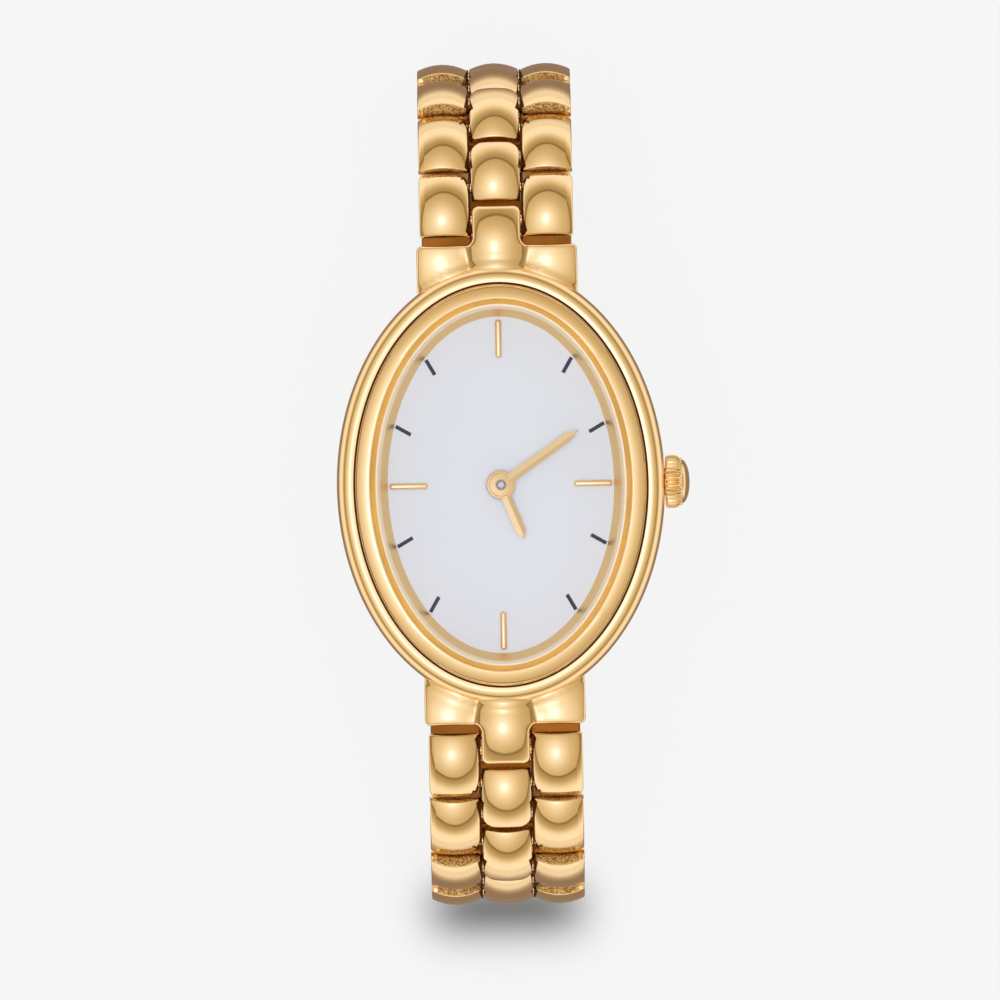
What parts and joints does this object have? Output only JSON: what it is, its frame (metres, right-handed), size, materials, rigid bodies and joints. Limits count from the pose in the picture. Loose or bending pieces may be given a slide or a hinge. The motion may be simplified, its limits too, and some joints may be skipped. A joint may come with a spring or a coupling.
{
  "type": "oval bracelet wristwatch",
  "caption": "Oval gold-coloured dress watch, pale dial with baton markers and two hands, flat crystal, fluted crown, on a bracelet of puffed hinged links with a folding clasp",
  "frame": {"origin": "centre of the case back's flat outer face, on the axis of the hands", "axes": "+Z out of the dial, +Y towards 12 o'clock, +X towards 3 o'clock and the crown"},
  "size_m": [0.0259, 0.0624, 0.0403],
  "materials": {
    "gold": "polished gold plate",
    "crystal": "clear flat mineral glass",
    "gasket": "translucent amber",
    "seal": "matte black",
    "dial": "smooth pale silver-white",
    "holder": "moulded grey",
    "brass": "machined",
    "steel": "fine brushed",
    "battery": "nickel plated can",
    "copper": "enamelled winding",
    "board": "coated laminate"
  },
  "bodies": {
    "case": {"mid_case": "gold", "bezel": "gold", "crystal": "crystal", "crystal_gasket": "gasket", "rehaut_ring": "gold", "dial": "dial", "dial_markers": "gold", "case_back": "steel", "case_back_gasket": "seal", "crown_tube": "steel", "crown_gasket": "seal", "movement_holder": "holder", "main_plate": "brass", "train_bridge": "brass", "battery": "battery", "battery_clamp": "steel", "coil": "copper", "circuit_board": "board", "quartz_can": "battery", "movement_screws": "steel"},
    "lever": {"setting_lever": "steel"},
    "winder": {"crown": "gold", "stem": "steel"},
    "minutes": {"cannon_pinion": "steel", "minute_hand": "gold"},
    "hours": {"hour_wheel": "brass", "hour_hand": "gold"},
    "motion_wheel": {"minute_wheel": "brass"},
    "row_12_01": {"row_12_01": "gold"},
    "row_12_02": {"row_12_02": "gold"},
    "row_12_03": {"row_12_03": "gold"},
    "row_12_04": {"row_12_04": "gold"},
    "row_12_05": {"row_12_05": "gold"},
    "row_12_06": {"row_12_06": "gold"},
    "row_12_07": {"row_12_07": "gold"},
    "row_12_08": {"row_12_08": "gold"},
    "row_12_09": {"row_12_09": "gold"},
    "row_12_10": {"row_12_10": "gold"},
    "row_12_11": {"row_12_11": "gold"},
    "row_12_12": {"row_12_12": "gold"},
    "row_12_13": {"row_12_13": "gold"},
    "wing_12": {"clasp_wing_12": "gold"},
    "row_6_01": {"row_6_01": "gold"},
    "row_6_02": {"row_6_02": "gold"},
    "row_6_03": {"row_6_03": "gold"},
    "row_6_04": {"row_6_04": "gold"},
    "row_6_05": {"row_6_05": "gold"},
    "row_6_06": {"row_6_06": "gold"},
    "row_6_07": {"row_6_07": "gold"},
    "row_6_08": {"row_6_08": "gold"},
    "row_6_09": {"row_6_09": "gold"},
    "row_6_10": {"row_6_10": "gold"},
    "row_6_11": {"row_6_11": "gold"},
    "row_6_12": {"row_6_12": "gold"},
    "row_6_13": {"row_6_13": "gold"},
    "wing_6": {"clasp_wing_6": "gold"},
    "plate": {"clasp_plate": "gold"}
  },
  "joints": [
    {"name": "crown_pull", "type": "slide", "parent": "case", "child": "lever", "axis": [1, 0, 0], "range_m": [0, 0.0009]},
    {"name": "crown_turn", "type": "hinge", "parent": "lever", "child": "winder", "pos_m": [0.0125, 0, 0.0023], "axis": [1, 0, 0], "continuous": true},
    {"name": "minute_turn", "type": "hinge", "parent": "case", "child": "minutes", "pos_m": [0, 0, 0.0045], "axis": [0, 0, -1], "continuous": true},
    {"name": "hour_turn", "type": "hinge", "parent": "case", "child": "hours", "pos_m": [0, 0, 0.0041], "axis": [0, 0, -1], "continuous": true},
    {"name": "motion_wheel_turn", "type": "hinge", "parent": "case", "child": "motion_wheel", "pos_m": [0, 0.0026, 0.0028], "axis": [0, 0, -1], "continuous": true},
    {"name": "bracelet_open", "type": "hinge", "parent": "case", "child": "row_12_01", "pos_m": [0, 0.01945, 0.0032], "axis": [-1, 0, 0], "range_deg": [0, 59.33]},
    {"name": "row_12_02_hinge", "type": "hinge", "parent": "row_12_01", "child": "row_12_02", "pos_m": [0, 0.02411, 0.00204], "axis": [-1, 0, 0], "range_deg": [-3.76, 0]},
    {"name": "row_12_03_hinge", "type": "hinge", "parent": "row_12_02", "child": "row_12_03", "pos_m": [0, 0.02813, -0.00058], "axis": [-1, 0, 0], "range_deg": [-20.81, 0]},
    {"name": "row_12_04_hinge", "type": "hinge", "parent": "row_12_03", "child": "row_12_04", "pos_m": [0, 0.03001, -0.00499], "axis": [-1, 0, 0], "range_deg": [-27.52, 0]},
    {"name": "row_12_05_hinge", "type": "hinge", "parent": "row_12_04", "child": "row_12_05", "pos_m": [0, 0.03018, -0.00979], "axis": [-1, 0, 0], "range_deg": [-8.66, 0]},
    {"name": "row_12_06_hinge", "type": "hinge", "parent": "row_12_05", "child": "row_12_06", "pos_m": [0, 0.03001, -0.01459], "axis": [-1, 0, 0], "range_deg": [-15.58, 0]},
    {"name": "row_12_07_hinge", "type": "hinge", "parent": "row_12_06", "child": "row_12_07", "pos_m": [0, 0.02901, -0.01928], "axis": [-1, 0, 0], "range_deg": [-15.79, 0]},
    {"name": "row_12_08_hinge", "type": "hinge", "parent": "row_12_07", "child": "row_12_08", "pos_m": [0, 0.02721, -0.02373], "axis": [-1, 0, 0], "range_deg": [-22.67, 0]},
    {"name": "row_12_09_hinge", "type": "hinge", "parent": "row_12_08", "child": "row_12_09", "pos_m": [0, 0.02426, -0.02752], "axis": [-1, 0, 0], "range_deg": [-20.5, 0]},
    {"name": "row_12_10_hinge", "type": "hinge", "parent": "row_12_09", "child": "row_12_10", "pos_m": [0, 0.02047, -0.03047], "axis": [-1, 0, 0], "range_deg": [-22.65, 0]},
    {"name": "row_12_11_hinge", "type": "hinge", "parent": "row_12_10", "child": "row_12_11", "pos_m": [0, 0.01602, -0.03227], "axis": [-1, 0, 0], "range_deg": [-20.12, 0]},
    {"name": "row_12_12_hinge", "type": "hinge", "parent": "row_12_11", "child": "row_12_12", "pos_m": [0, 0.01127, -0.03294], "axis": [-1, 0, 0], "range_deg": [0, 18.7]},
    {"name": "row_12_13_hinge", "type": "hinge", "parent": "row_12_12", "child": "row_12_13", "pos_m": [0, 0.00647, -0.03294], "axis": [-1, 0, 0], "range_deg": [0, 55.09]},
    {"name": "wing_12_hinge", "type": "hinge", "parent": "row_12_13", "child": "wing_12", "pos_m": [0, 0.00167, -0.03294], "axis": [-1, 0, 0], "range_deg": [-62.97, 0]},
    {"name": "row_6_01_hinge", "type": "hinge", "parent": "case", "child": "row_6_01", "pos_m": [0, -0.01945, 0.0032], "axis": [1, 0, 0], "range_deg": [0, 66.45]},
    {"name": "row_6_02_hinge", "type": "hinge", "parent": "row_6_01", "child": "row_6_02", "pos_m": [0, -0.02411, 0.00204], "axis": [1, 0, 0], "range_deg": [-3.76, 0]},
    {"name": "row_6_03_hinge", "type": "hinge", "parent": "row_6_02", "child": "row_6_03", "pos_m": [0, -0.02813, -0.00058], "axis": [1, 0, 0], "range_deg": [-20.81, 0]},
    {"name": "row_6_04_hinge", "type": "hinge", "parent": "row_6_03", "child": "row_6_04", "pos_m": [0, -0.03001, -0.00499], "axis": [1, 0, 0], "range_deg": [-27.52, 0]},
    {"name": "row_6_05_hinge", "type": "hinge", "parent": "row_6_04", "child": "row_6_05", "pos_m": [0, -0.03018, -0.00979], "axis": [1, 0, 0], "range_deg": [-8.66, 0]},
    {"name": "row_6_06_hinge", "type": "hinge", "parent": "row_6_05", "child": "row_6_06", "pos_m": [0, -0.03001, -0.01459], "axis": [1, 0, 0], "range_deg": [-15.58, 0]},
    {"name": "row_6_07_hinge", "type": "hinge", "parent": "row_6_06", "child": "row_6_07", "pos_m": [0, -0.02901, -0.01928], "axis": [1, 0, 0], "range_deg": [-15.79, 0]},
    {"name": "row_6_08_hinge", "type": "hinge", "parent": "row_6_07", "child": "row_6_08", "pos_m": [0, -0.02721, -0.02373], "axis": [1, 0, 0], "range_deg": [-22.67, 0]},
    {"name": "row_6_09_hinge", "type": "hinge", "parent": "row_6_08", "child": "row_6_09", "pos_m": [0, -0.02426, -0.02752], "axis": [1, 0, 0], "range_deg": [-20.5, 0]},
    {"name": "row_6_10_hinge", "type": "hinge", "parent": "row_6_09", "child": "row_6_10", "pos_m": [0, -0.02047, -0.03047], "axis": [1, 0, 0], "range_deg": [-22.65, 0]},
    {"name": "row_6_11_hinge", "type": "hinge", "parent": "row_6_10", "child": "row_6_11", "pos_m": [0, -0.01602, -0.03227], "axis": [1, 0, 0], "range_deg": [-20.12, 0]},
    {"name": "row_6_12_hinge", "type": "hinge", "parent": "row_6_11", "child": "row_6_12", "pos_m": [0, -0.01127, -0.03294], "axis": [1, 0, 0], "range_deg": [0, 18.7]},
    {"name": "row_6_13_hinge", "type": "hinge", "parent": "row_6_12", "child": "row_6_13", "pos_m": [0, -0.00647, -0.03294], "axis": [1, 0, 0], "range_deg": [0, 55.09]},
    {"name": "wing_6_hinge", "type": "hinge", "parent": "row_6_13", "child": "wing_6", "pos_m": [0, -0.00167, -0.03294], "axis": [1, 0, 0], "range_deg": [-62.97, 0]},
    {"name": "plate_hinge", "type": "hinge", "parent": "wing_12", "child": "plate", "pos_m": [0, 0.01467, -0.03034], "axis": [-1, 0, 0], "range_deg": [0, 100.8]}
  ],
  "couplings": [
    {"joint": "hour_turn", "follows": "minute_turn", "ratio": 0.083333},
    {"joint": "motion_wheel_turn", "follows": "minute_turn", "ratio": -0.33333},
    {"joint": "row_12_02_hinge", "follows": "bracelet_open", "ratio": -0.056566},
    {"joint": "row_12_03_hinge", "follows": "bracelet_open", "ratio": -0.31321},
    {"joint": "row_12_04_hinge", "follows": "bracelet_open", "ratio": -0.41412},
    {"joint": "row_12_05_hinge", "follows": "bracelet_open", "ratio": -0.13037},
    {"joint": "row_12_06_hinge", "follows": "bracelet_open", "ratio": -0.23453},
    {"joint": "row_12_07_hinge", "follows": "bracelet_open", "ratio": -0.23756},
    {"joint": "row_12_08_hinge", "follows": "bracelet_open", "ratio": -0.34121},
    {"joint": "row_12_09_hinge", "follows": "bracelet_open", "ratio": -0.30846},
    {"joint": "row_12_10_hinge", "follows": "bracelet_open", "ratio": -0.34093},
    {"joint": "row_12_11_hinge", "follows": "bracelet_open", "ratio": -0.3028},
    {"joint": "row_12_12_hinge", "follows": "bracelet_open", "ratio": 0.28135},
    {"joint": "row_12_13_hinge", "follows": "bracelet_open", "ratio": 0.82903},
    {"joint": "wing_12_hinge", "follows": "bracelet_open", "ratio": -0.94764},
    {"joint": "row_6_01_hinge", "follows": "bracelet_open", "ratio": 1},
    {"joint": "row_6_02_hinge", "follows": "bracelet_open", "ratio": -0.056566},
    {"joint": "row_6_03_hinge", "follows": "bracelet_open", "ratio": -0.31321},
    {"joint": "row_6_04_hinge", "follows": "bracelet_open", "ratio": -0.41412},
    {"joint": "row_6_05_hinge", "follows": "bracelet_open", "ratio": -0.13037},
    {"joint": "row_6_06_hinge", "follows": "bracelet_open", "ratio": -0.23453},
    {"joint": "row_6_07_hinge", "follows": "bracelet_open", "ratio": -0.23756},
    {"joint": "row_6_08_hinge", "follows": "bracelet_open", "ratio": -0.34121},
    {"joint": "row_6_09_hinge", "follows": "bracelet_open", "ratio": -0.30846},
    {"joint": "row_6_10_hinge", "follows": "bracelet_open", "ratio": -0.34093},
    {"joint": "row_6_11_hinge", "follows": "bracelet_open", "ratio": -0.3028},
    {"joint": "row_6_12_hinge", "follows": "bracelet_open", "ratio": 0.28135},
    {"joint": "row_6_13_hinge", "follows": "bracelet_open", "ratio": 0.82903},
    {"joint": "wing_6_hinge", "follows": "bracelet_open", "ratio": -0.94764},
    {"joint": "plate_hinge", "follows": "bracelet_open", "ratio": 1.517}
  ]
}
